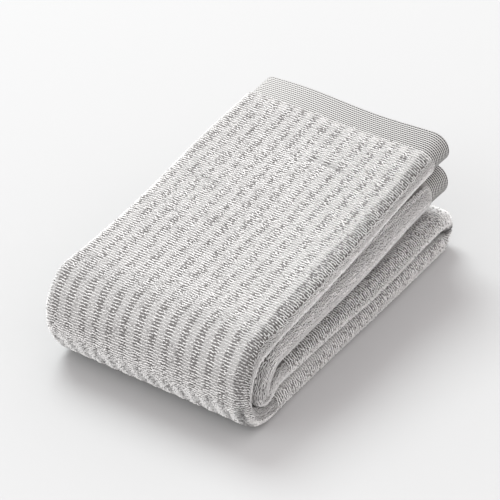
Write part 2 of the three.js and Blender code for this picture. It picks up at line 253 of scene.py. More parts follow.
class FoldedCloth:
    """The cloth as a solid of three numbers in millimetres: across it, along it, and height over its middle."""

    # columns of the path
    Y, Z, NORMAL_Y, NORMAL_Z, SPACING, PILE, SKEW = range(7)

    def __init__(self, sizes):
        for name in type(sizes).__annotations__:
            setattr(self, name, getattr(sizes, name) / MM)
        self.edge = self.folded_width / 2 - self.ground - self.pile_out
        self.right_selvedge = LEFT_SELVEDGE + self.cloth_width
        self.path, self.joins = self.make_path()
        steps = np.hypot(np.diff(self.path[:, self.Y]), np.diff(self.path[:, self.Z]))
        self.along = np.concatenate([[0], np.cumsum(steps)])
        self.join_along = self.along[self.joins]

    def level(self, rows, start, end, facing, hem_y=None, skew=0):
        """A straight run of the path: y evenly spaced, z from the table, the normal square to its slope, and pile
        everywhere but on a hem."""
        y = np.linspace(start, end, int(abs(end - start) / LEVEL_STEP) + 2)[:-1]
        slope = (read_table(rows, y + SLOPE_STEP, 1) - read_table(rows, y - SLOPE_STEP, 1)) / (2 * SLOPE_STEP)
        size = np.hypot(1, slope)
        pile = np.ones_like(y)
        if hem_y is not None:
            pile = ease(self.hem - HEM_STEP / 2, self.hem + HEM_STEP / 2, hem_y - y)
        return np.stack([
            y, read_table(rows, y, 1), -slope / size * facing, facing / size, read_table(rows, y, 2), pile,
            skew * ease(0, 1, y / TOP_HEM_Y),
        ], 1)

    def turn(self, y, low, high, depth, end, facing, down, top=1, bottom=1):
        """Half an ellipse between two levels: y goes out by depth times the cosine to a power, z follows the sine."""
        angle = np.linspace(1, -1, TURN_POINTS)[:-1] * (TURN / 4 if down else -TURN / 4)
        power = np.where(angle > 0, top, bottom)
        cos, sin = np.maximum(np.cos(angle), LEAST_COSINE), np.sin(angle)
        radius = (high - low) / 2
        along_y, along_z = depth * power * cos ** (power - 1) * abs(sin), radius * cos
        size = np.hypot(along_y, along_z)
        return np.stack([
            y + end * depth * cos ** power, (high + low) / 2 + radius * sin, end * facing * along_z / size,
            facing * np.sign(sin) * along_y / size, self.spacing - TURN_SQUEEZE * cos * cos,
            np.ones_like(angle), np.zeros_like(angle),
        ], 1)

    def make_path(self):
        """The whole path from the hem on top to the hem of the second level, and where each stretch begins."""
        outside = self.ground + self.pile_out
        near, far = -self.folded_length / 2 + outside, self.folded_length / 2 - outside
        far_depth = FAR_TURN_DEPTH * self.spacing
        far_turn_y = far - far_depth
        z_at = lambda rows, y: float(read_table(rows, np.array([y]), 1)[0])
        bottom, third = z_at(BOTTOM_LEVEL, OUTER_TURN_Y), z_at(THIRD_LEVEL, far_turn_y)
        stretches = [
            self.level(TOP_LEVEL, TOP_HEM_Y, OUTER_TURN_Y, 1, TOP_HEM_Y, HEM_SKEW),
            self.turn(OUTER_TURN_Y, bottom, z_at(TOP_LEVEL, OUTER_TURN_Y), OUTER_TURN_Y - near, -1, 1, True,
                      FULLNESS_TOP, FULLNESS_BOTTOM),
            self.level(BOTTOM_LEVEL, OUTER_TURN_Y, far_turn_y, -1),
            self.turn(far_turn_y, bottom, third, far_depth, 1, 1, False),
            self.level(THIRD_LEVEL, far_turn_y, INNER_TURN_Y, 1),
            self.turn(INNER_TURN_Y, z_at(THIRD_LEVEL, INNER_TURN_Y), z_at(SECOND_LEVEL, INNER_TURN_Y),
                      INNER_TURN_DEPTH * self.spacing, -1, -1, False),
            self.level(SECOND_LEVEL, INNER_TURN_Y, SECOND_HEM_Y + PAST_SECOND_HEM, -1, SECOND_HEM_Y),
        ]
        joins = np.cumsum([0] + [len(s) for s in stretches])
        joins[-1] -= 1
        return np.concatenate(stretches), joins

    def at(self, along):
        """The path's columns at a distance along it, read between its points."""
        return [np.interp(along, self.along, column) for column in self.path.T]

    def fold_lines(self, spacing):
        """How far from the middle the right third and the left third begin to turn in."""
        return self.edge - spacing, self.edge - spacing / 2

    def rib_index(self, across):
        """The number of the nearest rib, counted from the middle one."""
        return np.round((across - self.rib_at) / self.rib_pitch)

    def unswayed(self, across, along):
        """Across the cloth as if its ribs ran straight: all of them sway on one slow wave, and each on two of its
        own."""
        own = rib_waves(RIB_WANDER, along, self.rib_index(across))
        return across + SWAY["size"] * np.sin(TURN * (along - SWAY["start"]) / SWAY["length"]) + own

    def rib(self, across, along):
        """1 on a white rib and 0 between two: a cosine across the cloth, wider and narrower along it, and 1 at
        hems."""
        swell = rib_waves(RIB_SWELL, along, self.rib_index(across))
        rib = 0.5 + 0.5 * np.cos(TURN * (self.unswayed(across, along) - self.rib_at) / self.rib_pitch)
        return np.maximum(rib + SWELL_SHARE * swell, self.beside_hem(along))

    def beside_hem(self, along):
        """1 on the last of the pile before a hem, which is white all across, and 0 a little further from it."""
        return 1 - ease(*WHITE_AT_HEM, np.minimum(along, self.along[-1] - along) - self.hem)

    def pile_share(self, across):
        """Share of the pile that stands at a place across the cloth: none on the bare selvedges."""
        return ease(0, SELVEDGE, np.minimum(across - LEFT_SELVEDGE, self.right_selvedge - across))

    def place(self, across, along, height):
        """Points in millimetres. The left third turns in round half a spacing and the right third round a whole one,
        each on a half circle, then the path carries the result, and it settles."""
        y, z, normal_y, normal_z, spacing, _, skew = self.at(along)
        right, left = self.fold_lines(spacing)
        past_right = np.maximum(across - right, 0)
        past_left = np.maximum(-across - left, 0)
        right_angle = np.minimum(past_right / spacing, np.pi)
        left_angle = np.minimum(past_left / (spacing / 2), np.pi)
        right_rest = past_right - spacing * right_angle
        left_rest = past_left - spacing / 2 * left_angle
        x = np.clip(across, -left, right) + spacing * np.sin(right_angle) - right_rest
        x = x - spacing / 2 * np.sin(left_angle) + left_rest
        depth = spacing * (1 - np.cos(right_angle)) + spacing / 2 * (1 - np.cos(left_angle))
        angle = right_angle - left_angle
        x = x + height * np.sin(angle)
        depth = depth - height * np.cos(angle)
        return self.settle(x, y - depth * normal_y - skew * x, z - depth * normal_z)

    def settle(self, x, y, z):
        """The droop of the inner turn, the slow wave and wander of the whole towel, the creases of its top,
        and the surface below, which presses the lowest cloth flat."""
        near = -self.folded_length / 2
        in_turn = ease(DROOP["from"], DROOP["full"], y) * ease(near + DROOP["end_none"], near + DROOP["end_full"], y)
        in_height = np.where(z < DROOP["middle"], z / DROOP["middle"], ease(DROOP["top"], DROOP["middle"], z))
        z = z - DROOP["size"] * in_turn * in_height
        wave = np.sin(TURN * x / WAVE["across"] + WAVE["start"]) * np.sin(TURN * y / WAVE["along"])
        wander = WANDER["size"] * np.sin(TURN * y / WANDER["length"] + z / WANDER["lean"])
        on_top = ease(ON_TOP["from"], ON_TOP["full"], z - ON_TOP["slope"] * y)
        crease = sum(depth * in_crease(x, y, cx, cy, rx, ry, rise) for cx, cy, rx, ry, depth, rise in CREASES)
        x = x + wander * ease(0, WANDER["full_height"], z) + MIDDLE[0]
        z = np.maximum(0, z * (1 + WAVE["share"] * wave) - crease * on_top)
        return np.stack([x, y + MIDDLE[1], z], -1)


def in_crease(x, y, cx, cy, rx, ry, rise):
    """1 along the middle of a crease that bows by its rise. It falls off as a bell across the crease, and as a
    squarer one, with the fourth power, towards its ends."""
    return np.exp(-((x - cx) / rx) ** 4 - ((y - cy - rise * (1 - ((x - cx) / rx) ** 2)) / ry) ** 2)


def add_node(tree, kind, inputs=None, **settings):
    """Adds a node with its settings, and gives each input a value or links a socket to it."""
    made = tree.nodes.new(kind)
    for name, value in settings.items():
        setattr(made, name, value)
    for name, value in (inputs or {}).items():
        if isinstance(value, bpy.types.NodeSocket):
            tree.links.new(value, made.inputs[name])
        else:
            made.inputs[name].default_value = value
    return made


def new_material(name, roughness, sheen):
    """A material with its shader and nothing else: returns the material, its node tree and the shader."""
    material = bpy.data.materials.new(name)
    material.use_nodes = True
    tree = material.node_tree
    shader = tree.nodes["Principled BSDF"]
    shader.inputs["Roughness"].default_value = roughness
    shader.inputs["Sheen Weight"].default_value = sheen
    shader.inputs["Sheen Roughness"].default_value = 0.5
    shader.inputs["Specular IOR Level"].default_value = 0.2
    return material, tree, shader


def yarn_material(name, colour):
    """Ring-spun cotton yarn, dyed before weaving: matt and soft-edged. Each loop's colour is scaled by a tone from
    its attribute, a little uneven from loop to loop and darker where shade is painted on the yarn.
    """
    material, tree, shader = new_material(name, roughness=0.95, sheen=0.1)
    tone_and_painted_shade = add_node(tree, "ShaderNodeAttribute", attribute_name="tone_and_painted_shade").outputs["Fac"]
    shade = add_node(tree, "ShaderNodeMix", {0: 1.0, 6: (*colour, 1), 7: tone_and_painted_shade}, data_type="RGBA",
                     blend_type="MULTIPLY").outputs[2]
    # the yarn's own plies, which show only from close by
    coordinates = add_node(tree, "ShaderNodeTexCoord").outputs["Object"]
    plies = add_node(tree, "ShaderNodeTexNoise", {
        "Vector": coordinates, "Scale": 1 / (PLY_PITCH * MM), "Detail": 1.0,
    })
    bump = add_node(tree, "ShaderNodeBump", {
        "Height": plies.outputs["Fac"], "Strength": 0.4, "Distance": PLY_RELIEF * MM,
    })
    tree.links.new(shade, shader.inputs["Base Color"])
    tree.links.new(bump.outputs[0], shader.inputs["Normal"])
    return material


def ground_material(cloth, colours):
    """Plain-woven cotton ground, matt, light under the ribs and dark between the rows of the stripes: white and grey
    cotton, both painted darker as the shade deep in the pile, and darker still under the band, also as painted shade;
    with flat hems of ribbed weave, whose gaps are painted shade. Where no pile is modelled, the pile's own colours
    stand for it."""
    material, tree, shader = new_material("cotton_ground_weave", roughness=0.95, sheen=0.2)
    uv = add_node(tree, "ShaderNodeUVMap", uv_map="cloth").outputs[0]
    place = add_node(tree, "ShaderNodeSeparateXYZ", {0: uv}).outputs
    value = {"across": place["X"], "along": place["Y"]}
    for name in ("hem", "bare", "band"):
        value[name] = add_node(tree, "ShaderNodeAttribute", attribute_name=name).outputs["Fac"]
    # each step: its name, what is done, and the numbers or the earlier steps that it is done to
    for name, operation, *terms in (
        # one rib and one grey stripe in each pitch: the cosine of the distance across, as part of a pitch
        ("from_rib", "SUBTRACT", "across", cloth.rib_at * MM),
        ("phase", "MULTIPLY", "from_rib", TURN / (cloth.rib_pitch * MM)),
        ("rib", "COSINE", "phase"),
        # the hem's rows: the gap between two is 1 less the size of a sine
        ("row", "DIVIDE", "along", HEM_ROW * MM),
        ("half_turns", "MULTIPLY", "row", np.pi),
        ("row_sine", "SINE", "half_turns"),
        ("ridge", "ABSOLUTE", "row_sine"),
        ("gap", "SUBTRACT", 1.0, "ridge"),
        # the floats in each row: a sine across, stepped on from row to row
        ("floats", "DIVIDE", "across", HEM_FLOAT * MM),
        ("half_on", "ADD", "row", 0.5),
        ("nearest_row", "FLOOR", "half_on"),
        ("stagger", "MULTIPLY", "nearest_row", HEM_STAGGER),
        ("stepped", "ADD", "floats", "stagger"),
        ("turns", "MULTIPLY", "stepped", TURN),
        ("float_sine", "SINE", "turns"),
        ("strength", "MULTIPLY", "float_sine", HEM_DASH),
        ("dash", "ADD", "strength", 1.0),
        # the weave opens a little towards the right
        ("opening", "MULTIPLY", "across", HEM_OPENS / MM),
        ("open", "ADD", "opening", HEM_OPEN),
        ("dashed", "MULTIPLY", "gap", "dash"),
        ("woven_gap", "MULTIPLY", "dashed", "open"),
        ("closed", "SUBTRACT", 1.0, "woven_gap"),
        ("relief", "MULTIPLY", "closed", "hem"),
    ):
        inputs = {i: value.get(term, term) for i, term in enumerate(terms)}
        value[name] = add_node(tree, "ShaderNodeMath", inputs, operation=operation).outputs[0]
    value["stripe"] = add_node(tree, "ShaderNodeMapRange", {
        "Value": value["rib"], "From Min": STRIPE_EDGE[0], "From Max": STRIPE_EDGE[1],
    }).outputs[0]
    # each mix: its name, its share, and the colours where that is 0 and where it is 1
    for name, share, *pair in (
        ("under_pile", "stripe", colours.rib_ground, colours.stripe_ground),
        ("from_afar", "stripe", colours.rib_far, colours.stripe_far),
        # the band's dark ground is painted shade
        ("banded", "band", "under_pile", colours.band_ground_painted_shade),
        ("striped", "bare", "banded", "from_afar"),
        # the hem's gaps take a near-black colour, painted shade in their grooves
        ("woven", "woven_gap", colours.hem, colours.hem_gap),
        ("colour", "hem", "striped", "woven"),
    ):
        first, second = (value[item] if isinstance(item, str) else (*item, 1) for item in pair)
        inputs = {0: value[share], 6: first, 7: second}
        value[name] = add_node(tree, "ShaderNodeMix", inputs, data_type="RGBA").outputs[2]
    bump = add_node(tree, "ShaderNodeBump", {"Height": value["relief"], "Strength": 1.0, "Distance": HEM_RELIEF * MM})
    tree.links.new(value["colour"], shader.inputs["Base Color"])
    tree.links.new(bump.outputs[0], shader.inputs["Normal"])
    return material


def add_object(name, data):
    """An object with its data, linked to the scene."""
    made = bpy.data.objects.new(name, data)
    bpy.context.scene.collection.objects.link(made)
    return made


def mesh_object(name, points, faces, material, cloth_place=None, attributes=None):
    """A piece from points in millimetres and triangles, with a UV map of its place on the cloth, in metres."""
    mesh = bpy.data.meshes.new(name)
    mesh.vertices.add(len(points))
    mesh.vertices.foreach_set("co", (points * MM).astype(np.float32).ravel())
    mesh.loops.add(faces.size)
    mesh.loops.foreach_set("vertex_index", faces.astype(np.int32).ravel())
    mesh.polygons.add(len(faces))
    mesh.polygons.foreach_set("loop_start", np.arange(0, faces.size, 3, dtype=np.int32))
    mesh.polygons.foreach_set("loop_total", np.full(len(faces), 3, dtype=np.int32))
    mesh.polygons.foreach_set("use_smooth", np.ones(len(faces), dtype=bool))
    if cloth_place is not None:
        layer = mesh.uv_layers.new(name="cloth")
        layer.data.foreach_set("uv", (cloth_place[faces.ravel()] * MM).astype(np.float32).ravel())
    for key, values in (attributes or {}).items():
        mesh.attributes.new(key, "FLOAT", "POINT").data.foreach_set("value", values.astype(np.float32).ravel())
    mesh.update(calc_edges=True)
    mesh.validate()
    mesh.materials.append(material)
    made = add_object(name, mesh)
    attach(made, "root")
    return made


def grid_faces(rows, columns, first=0):
    """Two triangles for each cell of a grid whose points are numbered row by row."""
    i, j = np.meshgrid(np.arange(rows - 1), np.arange(columns - 1), indexing="ij")
    corner = (first + i * columns + j).ravel()
    return np.concatenate([
        np.stack([corner, corner + columns, corner + columns + 1], 1),
        np.stack([corner, corner + columns + 1, corner + 1], 1),
    ])


def band_faces(a, b):
    """Two triangles for each step between two lines of points."""
    return np.concatenate([np.stack([a[:-1], b[:-1], b[1:]], 1), np.stack([a[:-1], b[1:], a[1:]], 1)])


def sheet_lines(cloth):
    """Distances across the cloth at which the sheet has points: half a rib apart, and closer in the two folds."""
    flat = np.arange(LEFT_SELVEDGE + SELVEDGE, cloth.right_selvedge - SELVEDGE, cloth.rib_pitch / 2)
    for start, end, _ in FOLD_LINES:
        flat = flat[(flat < start - 1) | (flat > end + 1)]
    folds = [np.arange(start, end, step) for start, end, step in FOLD_LINES]
    ends = [LEFT_SELVEDGE, LEFT_SELVEDGE + 1, cloth.right_selvedge - 1, cloth.right_selvedge]
    return np.sort(np.concatenate([ends, flat, *folds]))


def sheet_stations(cloth):
    """Distances along the cloth at which the sheet has points: evenly spaced on each stretch, closer in turns, and
    more of them at the hems' edges and the cut ends."""
    j = cloth.join_along
    last = j[-1]
    runs = [
        np.linspace(j[k], j[k + 1], int((j[k + 1] - j[k]) / step) + 2)[:-1] for k, step in enumerate(STATION_STEPS)
    ]
    edge = cloth.hem + np.array(HEM_STATIONS)
    return np.unique(np.concatenate([*runs, [CUT_END, last - CUT_END, last], edge, last - edge]))


def make_towel(cloth, colours):
    """The closed sheet: an outer and an inner face at their heights over the cloth's middle, joined by four rims."""
    across, along = sheet_lines(cloth), sheet_stations(cloth)
    a, s = np.meshgrid(across, along)
    bare_pile = cloth.at(s)[cloth.PILE]
    pile = bare_pile * cloth.pile_share(a)
    spacing = cloth.at(s)[cloth.SPACING]
    pressed = np.minimum(1, spacing / cloth.spacing)
    rounded = np.minimum(np.minimum(s, cloth.along[-1] - s) / CUT_END, 1) ** 0.5
    ground = cloth.ground * (CUT_END_SHARE + (1 - CUT_END_SHARE) * rounded)
    outer = (ground + UNDER_PILE * pile) * pressed
    inner = -(ground + pile * cloth.pile_in * INNER_PILE_SHARE) * pressed
    points = np.concatenate([cloth.place(a, s, outer).reshape(-1, 3), cloth.place(a, s, inner).reshape(-1, 3)])
    rows, columns = a.shape
    number = np.arange(rows * columns).reshape(rows, columns)
    under = number + rows * columns
    faces = np.concatenate([
        grid_faces(rows, columns),
        grid_faces(rows, columns, rows * columns)[:, ::-1],
        band_faces(number[:, 0], under[:, 0]),
        band_faces(under[:, -1], number[:, -1]),
        band_faces(under[0], number[0]),
        band_faces(number[-1], under[-1]),
    ])
    hem = (1 - bare_pile).ravel()
    cloth_place = np.stack([cloth.unswayed(a, s).ravel(), s.ravel()], 1)
    bare = np.maximum(BARE_AT_HEM * cloth.beside_hem(s), ~has_pile(cloth, a, s)).ravel()
    past = (a - cloth.edge + spacing) / spacing - wrap(cloth, s)
    stretch = stretch_at(cloth, s)
    # the band's ground, painted dark as shade: past the flat rows of the top, the near end, the inner turn and the
    # second level, and on the third level's top
    in_band = (past > BAND_GROUND[0]) & ((stretch <= NEAR_END) | (stretch >= INNER_END))
    band = (in_band | (past > BAND_GROUND[1]) & (stretch == THIRD)).ravel()
    towel = mesh_object(
        "towel_cloth", points, faces, ground_material(cloth, colours), np.concatenate([cloth_place, cloth_place]),
        {"hem": np.concatenate([hem, hem]), "bare": np.concatenate([bare, np.ones_like(bare)]),
         "band": np.concatenate([band, np.zeros_like(band)])},
    )
    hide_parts("towel")
    return towel


# One loop: its two feet and three rings of three points, and the triangles between them
RING_AT = np.array([-0.62, 0.0, 0.62])
RING_TURN = TURN * (np.arange(3) / 3 + 0.25)
LOOP_POINTS = 11
LOOP_FACES = np.array(
    [(0, 1 + (k + 1) % 3, 1 + k) for k in range(3)]
    + [(1 + 3 * r + k, 1 + 3 * r + (k + 1) % 3, 4 + 3 * r + (k + 1) % 3) for r in range(2) for k in range(3)]
    + [(1 + 3 * r + k, 4 + 3 * r + (k + 1) % 3, 4 + 3 * r + k) for r in range(2) for k in range(3)]
    + [(7 + k, 7 + (k + 1) % 3, 10) for k in range(3)]
)


def across_at(cloth, length, spacing, tip):
    """The distance across the cloth at a length measured over the tips of the pile, which is longer round a fold."""
    right, left = cloth.fold_lines(spacing)
    right_arc, left_arc = np.pi * (spacing + tip), np.pi * (spacing / 2 + tip)
    past_right, past_left = np.maximum(length - right, 0), np.maximum(-length - left, 0)
    in_right, in_left = np.minimum(past_right, right_arc), np.minimum(past_left, left_arc)
    across = np.clip(length, -left, right) + in_right * np.pi * spacing / right_arc + past_right - in_right
    return across - in_left * np.pi * spacing / 2 / left_arc - past_left + in_left


def stretch_at(cloth, along):
    """The number of the stretch of the path, from TOP at its first hem to SECOND at its last."""
    return np.clip(np.searchsorted(cloth.join_along, along) - 1, TOP, SECOND)


def shows_across(cloth, along):
    """True where the outer face shows all across the towel: the top, both ends, and the third level at its far end,
    which the levels above leave open."""
    stretch = stretch_at(cloth, along)
    open_far = (stretch == THIRD) & (cloth.at(along)[cloth.Y] > OPEN_FAR_Y)
    return (stretch <= NEAR_END) | (stretch == FAR_END) | open_far


def has_pile(cloth, across, along):
    """True where the outer face of the cloth can be seen, so that its loops are modelled."""
    spacing = cloth.at(along)[cloth.SPACING]
    right, left = cloth.fold_lines(spacing)
    on_side = (across > right - BEFORE_FOLD) | (across < -left + BEFORE_FOLD)
    before_left = across > -left - np.pi * spacing / 2 - PAST_LEFT_FOLD
    before_right = across < right + np.pi * spacing + PAST_RIGHT_FOLD
    return (shows_across(cloth, along) | on_side) & before_left & before_right


def wrap(cloth, along):
    """How far round a fold the rows of the flat cloth go on, as an angle that grows down the near end."""
    turn = cloth.join_along[NEAR_END]
    low = ease(turn + WRAP_RUN[0], turn + WRAP_RUN[1], along) * (along < cloth.join_along[BOTTOM])
    return TURN / 360 * (WRAP[0] + WRAP[1] * low)


def pile_rows(cloth, across, pitch):
    """Distances along the cloth of rows that are evenly spaced over the tips, on a line at a distance across it."""
    along = np.arange(cloth.hem + ROWS_FROM, cloth.along[-1] - cloth.hem - ROWS_TO, ROWS_STEP)
    spacing = cloth.at(along)[cloth.SPACING]
    line = cloth.place(across(spacing), along, cloth.ground + cloth.pile_out)
    run = np.concatenate([[0], np.cumsum(np.linalg.norm(np.diff(line, axis=0), axis=1))])
    return np.interp(np.arange(0, run[-1], pitch), run, along)


def pile_grid(rows, steps, jitter, rng):
    """Places in rows and columns, each odd row half a step over, and each place a little off. Returns the distance
    along the cloth, the length over the tips, and the distance between the rows beside each place."""
    length, along = np.meshgrid(steps, rows)
    odd = (np.arange(len(rows)) % 2)[:, None]
    length = length + (odd / 2 + rng.normal(0, jitter, length.shape)) * (steps[1] - steps[0])
    gap = np.gradient(rows)[:, None] * np.ones_like(length)
    along = along + rng.normal(0, jitter / 2, length.shape) * gap
    return along, length, gap


def loop_places(cloth, pile, rng):
    """Where each loop stands. The loops stand side by side in rows across the cloth, which go on round its folds.
    Past them, on the right side of the top, the near end, the inner turn and the second level, they line up in fine
    columns along the cloth. Returns arrays: across, along, gap between rows, shade of the column, part of the pile,
    and alternate: 1 and 0 by turns, like the squares of a chessboard."""
    row_pitch, loop_pitch, column_pitch = pile.row_pitch / MM, pile.loop_pitch / MM, pile.column_pitch / MM
    tip = cloth.ground + cloth.pile_out
    middle = pile_rows(cloth, np.zeros_like, row_pitch)
    right_side = pile_rows(cloth, lambda spacing: cloth.fold_lines(spacing)[0] + np.pi / 2 * spacing, row_pitch)
    left_side = pile_rows(cloth, lambda spacing: -cloth.fold_lines(spacing)[1] - np.pi / 4 * spacing, row_pitch)
    part_rows = (middle, right_side, left_side, right_side)
    part_steps = (loop_pitch, loop_pitch, -loop_pitch, column_pitch)
    found = []
    for part in (FLAT, RIGHT, LEFT, BAND):
        rows, steps = part_rows[part], np.arange(*PART_REACH[part], part_steps[part])
        along, length, gap = pile_grid(rows, steps, PART_JITTER[part], rng)
        shade = rng.normal(0, 1, len(steps)) * np.ones_like(along)
        spacing, stretch = cloth.at(along)[cloth.SPACING], stretch_at(cloth, along)
        right, left = cloth.fold_lines(spacing)
        angle = wrap(cloth, along)
        past_right, past_left = angle * (spacing + tip), angle * (spacing / 2 + tip)
        flat = shows_across(cloth, along)
        near_third = (stretch == THIRD) & (cloth.at(along)[cloth.Y] < BAND_NEAR_Y)
        in_band = (stretch <= NEAR_END) | (stretch >= INNER_END) | near_third
        if part == FLAT:
            kept = (length < right + past_right) & (length > -left - past_left) & flat
        elif part == LEFT:
            kept = length < np.where(flat, -past_left, BEFORE_FOLD)
            kept = kept & (length > -np.pi * (spacing / 2 + tip) - PAST_LEFT_FOLD)
            length = length - left
        else:
            begin = np.where(flat, past_right, -BEFORE_FOLD) + np.where(in_band, BAND_GAP, 0)
            kept = (length > begin) & (length < np.pi * (spacing + tip) + PAST_RIGHT_FOLD)
            kept = kept & (in_band == (part == BAND))
            length = length + right
        across = across_at(cloth, length, spacing, tip)
        alternate = np.add.outer(np.arange(len(rows)), np.arange(len(steps))) % 2
        found.append(np.stack([across, along, gap, shade, np.full_like(gap, part), alternate])[:, kept])
    found = np.concatenate(found, 1)
    across, along = found[:2]
    return found[:, cloth.place(across, along, tip)[:, 2] > LOWEST_FOOT]


def stand(cloth, across, along, height):
    """Where each loop stands, unit vectors there across the cloth, along it and away from it, and how long a step
    along the cloth is there: each way is the difference of two places a small step apart."""
    foot = cloth.place(across, along, height)
    sides = cloth.place(across + STAND_STEP, along, height) - foot
    ahead = cloth.place(across, along + STAND_STEP, height) - foot
    away = cloth.place(across, along, height + STAND_STEP) - foot
    unit = lambda way: way / np.linalg.norm(way, axis=1, keepdims=True)
    return foot, unit(sides), unit(ahead), unit(away), np.linalg.norm(ahead, axis=1) / STAND_STEP


def loop_points(cloth, pile, across, along, gap, column, low, rng):
    """The points of every loop, as an arch that stands on the cloth: sideways by half its length times t, up by its
    height times a flattened parabola, and leaning along the cloth, with a triangle of yarn round each ring."""
    count = len(across)
    vary = lambda spread: rng.normal(1, spread, count).clip(*VARY_WITHIN)
    foot, sides, ahead, away, stretch = stand(cloth, across, along, cloth.ground + FOOT_HEIGHT)
    tall = cloth.pile_out - (cloth.rib_depth - STRIPE_LIFT) * low + pile.overshoot / MM
    height = np.where(column, COLUMN_HEIGHT, tall) * vary(VARY_HEIGHT)
    half = np.where(column, COLUMN_REACH * gap * stretch, pile.loop_length / MM / 2) * vary(VARY_LENGTH)
    radius = pile.yarn_radius / MM * np.where(column, 1, 1 + STRIPE_THICKER * low) * vary(VARY_THICKNESS)
    yaw = rng.normal(0, 1, count) * (VARY_TURN[0] - VARY_TURN[1] * low) + np.where(column, TURN / 4, 0)
    lean = rng.normal(*VARY_LEAN, count) * height
    # one foot, the three rings and the other foot: how far along the arch, which way round it, and 1 on rings
    t = np.concatenate([[-1], np.repeat(RING_AT, 3), [1]])[None, :]
    turn = np.concatenate([[0], np.tile(RING_TURN, 3), [0]])[None, :]
    ring = np.concatenate([[0], np.ones(9), [0]])[None, :]
    rise = np.clip(1 - t * t, 0, 1) ** ARCH_POWER
    slope = -ARCH_SLOPE * t
    r = radius[:, None] * ring
    sideways = half[:, None] * t - r * np.sin(turn) * slope / np.hypot(1, slope)
    raised = (height - radius)[:, None] * rise + r * np.sin(turn) / np.hypot(1, slope)
    raised = raised - np.where(ring > 0, 0, FOOT_DEPTH)
    forward = lean[:, None] * rise + r * np.cos(turn)
    cos, sin = np.cos(yaw)[:, None], np.sin(yaw)[:, None]
    points = foot[:, None] + sideways[..., None] * (cos * sides + sin * ahead)[:, None]
    points += forward[..., None] * (cos * ahead - sin * sides)[:, None] + raised[..., None] * away[:, None]
    return points * (1, 1, 0) + np.maximum(points, LOWEST_POINT) * (0, 0, 1)


def loop_tints(cloth, across, along, shade, part, stretch, low, rng):
    """How light the yarn of each loop is: near its mean at random, and darker in the places that the comments name,
    by a share times an ease or a bell over the loop's place. That darkening is painted shade, all but the band's
    spread from column to column, which is random."""
    tone_and_painted_shade = rng.normal(TINT_MEAN[0] + TINT_MEAN[1] * low, TINT_SPREAD[0] + TINT_SPREAD[1] * low)
    tone_and_painted_shade = tone_and_painted_shade + np.where(part != FLAT, TINT_COLUMN * shade, 0)
    # the band is painted darker, as painted shade: most where its fold begins, less further round, a little more
    # below the top level, and darker or lighter at random from column to column; the last stripe before it, on the
    # top and the near end, is painted darker too, as painted shade where the cloth turns down over its edge
    spacing = cloth.at(along)[cloth.SPACING]
    turned = ease(*BAND_TURNED, (across - cloth.edge + spacing) / spacing)
    band = DARKER["band"] + DARKER["band_below"] * (stretch > NEAR_END) - DARKER["band_turned"] * turned
    band = band - DARKER["band_column"] * shade
    last_stripe = low * ease(*LAST_STRIPE, across) * (stretch <= NEAR_END)
    tone_and_painted_shade = tone_and_painted_shade - np.where(part == BAND, band, DARKER["last_stripe"] * last_stripe)
    # low on the near end, where it turns under, the stripes are painted darker and wider, over the edges of the ribs
    # beside them, and its upper turn a little darker: both painted shade
    x, y, z = cloth.place(across, along, cloth.ground).T
    flank = 1 - ease(*FLANK, cloth.rib(across, along))
    under = 1 - ease(*NEAR_END_UNDER, z)
    on_near_end = stretch == NEAR_END
    upper = DARKER["near_end_top"] * ease(*NEAR_END_TOP, z)
    tone_and_painted_shade = tone_and_painted_shade - (DARKER["near_end_stripe"] * flank * under + upper) * on_near_end
    # the dark lines in the creases of the top, painted shade
    pressed = sum(
        DARKER["crease"] * depth * in_crease(x, y, cx, cy, rx, CREASE_LINE, rise)
        for cx, cy, rx, _, depth, rise in CREASES
    )
    # on the right side, painted shade: the dark line where the two lowest levels meet, and the darker top of the
    # third level
    far = ease(*MEET_SHADE["far"], y)
    first, second = MEET_SHADE["waves"]
    blotch = MEET_SHADE["mean"] + MEET_SHADE["blotch"] * np.sin(along / first) * np.sin(along / second) + MEET_SHADE["more"] * far
    meet = blotch * np.exp(-((z - MEET_SHADE["z"]) / (MEET_SHADE["half"] + far)) ** 2)
    shaded = DARKER["third_top_shade"] * ease(*THIRD_TOP, z) * (stretch == THIRD)
    # the painted shade low on the near end may go darker than the least tone elsewhere
    tone_and_painted_shade = tone_and_painted_shade.clip(TINT_WITHIN[0] - DARKER["near_end_least"] * under * on_near_end, TINT_WITHIN[1])
    return tone_and_painted_shade * (1 - pressed * (stretch == TOP)) * (1 - (meet + shaded) * (part == RIGHT))


